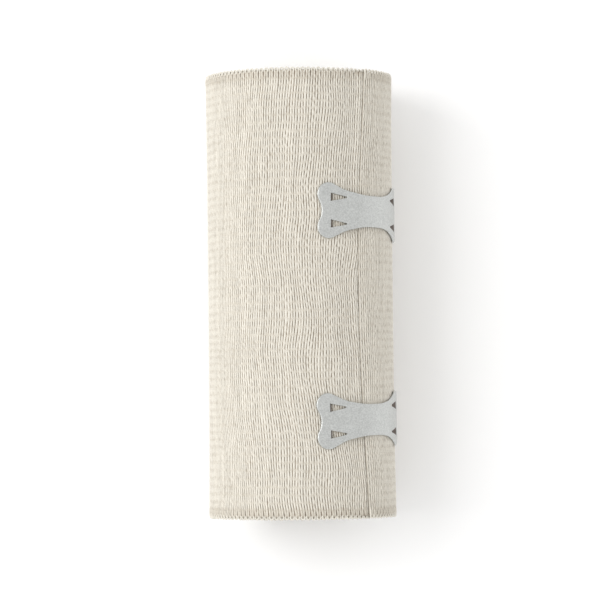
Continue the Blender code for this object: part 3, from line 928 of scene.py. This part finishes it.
def clip(name, y_middle, start, turned):
    """One clip: stamped flat, its teeth drawn down, its rims eased, then bent round the roll."""
    bm = bmesh.new()
    stamp(bm)
    for at_far_end, across in TEETH:
        draw_tooth(bm, at_far_end, across)
    bmesh.ops.recalc_face_normals(bm, faces=bm.faces)
    round_rims(bm)
    cut_to_bend(bm, turned)
    flat = np.array([vert.co for vert in bm.verts])
    labels = [bm.verts.layers.float.new(label) for label in ("along", "across")]
    for vert, spot, point in zip(bm.verts, flat, bend(flat, y_middle, start, turned)):
        for label, value in zip(labels, spot):
            vert[label] = value
        vert.co = point
    bmesh.ops.triangulate(bm, faces=bm.faces)
    mesh = bpy.data.meshes.new(name)
    bm.to_mesh(mesh)
    bm.free()
    mesh.shade_smooth()
    mesh.set_sharp_from_angle(angle=SHARP_FROM)
    return placed(name, mesh)


ALUMINIUM = (0.58, 0.59, 0.575)
# painted shade and reflection: the teeth, turned down into the cloth, are coloured dark and
# brownish for the shade they stand in and the brown cloth they mirror
SHADED_TOOTH_COLOUR = (0.17, 0.145, 0.13)
LINE_LENGTH = 6.0 * MM  # of the fine lines that rolling left along the clip
LINE_SPACING = 0.18 * MM
DENT_SIZE = 2.2 * MM
DENT_HEIGHT = 3.0  # in heights of the grain and of the lines
GRAIN_SIZE = 0.5 * MM
GRAIN_SHADES = (0.87, 1.09)
LINES_IN_GLOSS = 0.4  # the dents have the rest of it
GLOSS_ROUGHNESS = (0.36, 0.50)
GLOSS_SHADES = (0.94, 1.03)
METAL_BUMP = (0.02 * MM, 0.5)  # distance and strength


def aluminium_material(name, colour):
    """Satin rolled sheet: fine lines along the clip, cloudy gloss, grey grain and shallow dents."""
    material, tree, shader = new_material(name)
    along, across = attributes(tree, "along", "across")
    along = calculate(tree, "DIVIDE", along, LINE_LENGTH)
    across = calculate(tree, "DIVIDE", across, LINE_SPACING)
    on_lines = node(tree, "ShaderNodeCombineXYZ", [("X", along), ("Y", across)]).outputs[0]
    lines = noise(tree, on_lines, 1.0, detail=3.0)
    spot = node(tree, "ShaderNodeTexCoord").outputs["Object"]
    dents = noise(tree, spot, DENT_SIZE)
    grain = noise(tree, spot, GRAIN_SIZE, detail=3.0)
    gloss = calculate(tree, "MULTIPLY", dents, 1.0 - LINES_IN_GLOSS)
    gloss = calculate(tree, "MULTIPLY_ADD", lines, LINES_IN_GLOSS, gloss)
    grain_shade = mottled(tree, grain, GRAIN_SHADES)
    shade = calculate(tree, "MULTIPLY", grain_shade, mottled(tree, gloss, GLOSS_SHADES))
    height = calculate(tree, "ADD", grain, lines)
    height = calculate(tree, "MULTIPLY_ADD", dents, DENT_HEIGHT, height)
    fill_in(
        tree,
        shader,
        [
            ("Base Color", shaded(tree, colour, shade)),
            ("Roughness", mottled(tree, gloss, GLOSS_ROUGHNESS)),
            ("Normal", bumped(tree, height, *METAL_BUMP)),
            ("Metallic", 1.0),
        ],
    )
    return material


aluminium = aluminium_material("clip_metal", ALUMINIUM)
# the teeth's metal, with painted shade and a painted reflection of the cloth
shaded_tooth_metal = aluminium_material("clip_teeth", SHADED_TOOTH_COLOUR)
for node_name, y_mm, start_angle, turned_by in CLIPS:
    piece = clip(node_name + "_sheet", y_mm * MM, start_angle, turned_by)
    finished(piece, aluminium, node_name)
    piece.data.materials.append(shaded_tooth_metal)

# ======== The camera, the light and the floor ========
# A white table in a bright room, lit by one big soft light on the left.  The camera is a metre
# above the table, a little nearer the front end of the roll, and looks almost straight down.

LENS = 178.0
SENSOR = 36.0
CAMERA_PLACE = (-0.3 * MM, -41.1 * MM, 1060.0 * MM)
CAMERA_TILT = math.radians(2.22)
CAMERA_ROLL = math.radians(-0.6)
ROOM_COLOUR = (1.0, 1.0, 1.0, 1.0)
ROOM_BRIGHTNESS = 0.945
LIGHT_SIZE = (0.72, 1.0)
LIGHT_PLACE = (-0.86, 0.20, 1.0)
LIGHT_WATTS = 7.6
TABLE_HALF = 3.0
TABLE_TOP = -0.05 * MM  # just under the roll's flat spot, so that no two faces fight
TABLE_COLOUR = (0.98, 0.98, 0.98, 1.0)
TABLE_ROUGHNESS = 0.6

camera_data = bpy.data.cameras.new("camera")
camera_data.lens = LENS
camera_data.sensor_width = SENSOR
camera = placed("camera", camera_data)
camera.location = CAMERA_PLACE
camera.rotation_euler = (CAMERA_TILT, 0.0, CAMERA_ROLL)
bpy.context.scene.camera = camera
bpy.context.scene.view_settings.view_transform = "Standard"
bpy.context.scene.view_settings.look = "None"

room = bpy.data.worlds.new("bright_room")
room.use_nodes = True
background = room.node_tree.nodes["Background"]
fill_in(room.node_tree, background, [("Color", ROOM_COLOUR), ("Strength", ROOM_BRIGHTNESS)])
bpy.context.scene.world = room

light_data = bpy.data.lights.new("soft_light", "AREA")
light_data.shape = "RECTANGLE"
light_data.size, light_data.size_y = LIGHT_SIZE
light_data.energy = LIGHT_WATTS
light = placed("soft_light", light_data)
light.location = LIGHT_PLACE
light.rotation_euler = (-light.location).to_track_quat("-Z", "Y").to_euler()
light.visible_camera = False

table_mesh = bpy.data.meshes.new("table")
corners = np.array([(-1, -1, 0), (1, -1, 0), (1, 1, 0), (-1, 1, 0)]) * TABLE_HALF
table_mesh.from_pydata(corners + (0, 0, TABLE_TOP), [], [(0, 1, 2, 3)])
table = placed("table", table_mesh)
table_paint, tree, shader = new_material("white_table")
paint = [("Base Color", TABLE_COLOUR), ("Roughness", TABLE_ROUGHNESS), ("Specular IOR Level", 0.0)]
fill_in(tree, shader, paint)
table_mesh.materials.append(table_paint)
